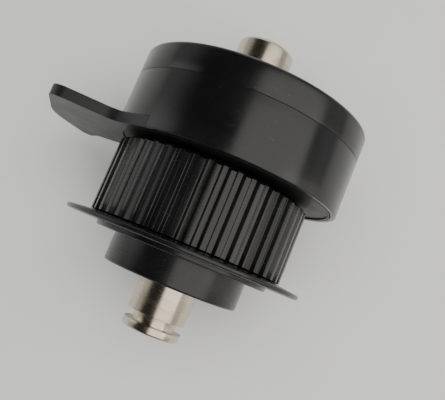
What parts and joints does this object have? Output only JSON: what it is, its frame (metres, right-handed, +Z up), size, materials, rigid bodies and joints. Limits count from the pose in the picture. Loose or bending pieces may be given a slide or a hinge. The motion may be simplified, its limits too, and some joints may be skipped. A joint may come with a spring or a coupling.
{
  "type": "timing belt pulley",
  "caption": "Toothed belt pulley with one flange on a plain steel shaft, running beside an off-centre drum housing that carries a side lever.",
  "frame": {"origin": "centre of the end face of the shaft at its grooved end", "axes": "+Y along the shaft from the grooved end past the pulley to the drum, +Z up, the lever points to -X"},
  "size_m": [0.0423, 0.0424, 0.033],
  "materials": {
    "steel": "ground and polished",
    "spring_steel": "pressed, oiled",
    "bronze": "sintered",
    "nylon": "moulded",
    "black_plastic": "smooth moulded black"
  },
  "bodies": {
    "axle": {"shaft": "steel", "front_bearing_inner_race": "steel", "rear_bearing_inner_race": "steel", "race_spacer": "steel", "thrust_washer": "bronze", "shaft_retaining_ring": "spring_steel"},
    "pulley": {"pulley_body": "black_plastic", "belt_flange": "black_plastic", "flange_lock_ring": "black_plastic", "front_bearing_outer_race": "steel", "rear_bearing_outer_race": "steel", "front_bearing_shield": "spring_steel", "rear_bearing_shield": "spring_steel", "bore_retaining_ring": "spring_steel"},
    "front_balls": {"front_bearing_cage": "nylon", "front_bearing_ball_1": "steel", "front_bearing_ball_2": "steel", "front_bearing_ball_3": "steel", "front_bearing_ball_4": "steel", "front_bearing_ball_5": "steel", "front_bearing_ball_6": "steel", "front_bearing_ball_7": "steel"},
    "rear_balls": {"rear_bearing_cage": "nylon", "rear_bearing_ball_1": "steel", "rear_bearing_ball_2": "steel", "rear_bearing_ball_3": "steel", "rear_bearing_ball_4": "steel", "rear_bearing_ball_5": "steel", "rear_bearing_ball_6": "steel", "rear_bearing_ball_7": "steel"},
    "drum": {"lever_arm": "black_plastic", "drum_body": "black_plastic", "drum_cap": "black_plastic", "front_bush": "bronze", "rear_bush": "bronze"}
  },
  "joints": [
    {"name": "pulley_spin", "type": "hinge", "parent": "axle", "child": "pulley", "pos_m": [0, 0.0149, 0], "axis": [0, 1, 0], "continuous": true},
    {"name": "front_balls_roll", "type": "hinge", "parent": "axle", "child": "front_balls", "pos_m": [0, 0.01025, 0], "axis": [0, 1, 0], "continuous": true},
    {"name": "rear_balls_roll", "type": "hinge", "parent": "axle", "child": "rear_balls", "pos_m": [0, 0.02005, 0], "axis": [0, 1, 0], "continuous": true},
    {"name": "lever_turn", "type": "hinge", "parent": "axle", "child": "drum", "pos_m": [0, 0.0289, 0], "axis": [0, 1, 0], "range_deg": [-6, 54]}
  ],
  "couplings": [
    {"joint": "front_balls_roll", "follows": "pulley_spin", "ratio": 0.5817},
    {"joint": "rear_balls_roll", "follows": "pulley_spin", "ratio": 0.5817}
  ]
}
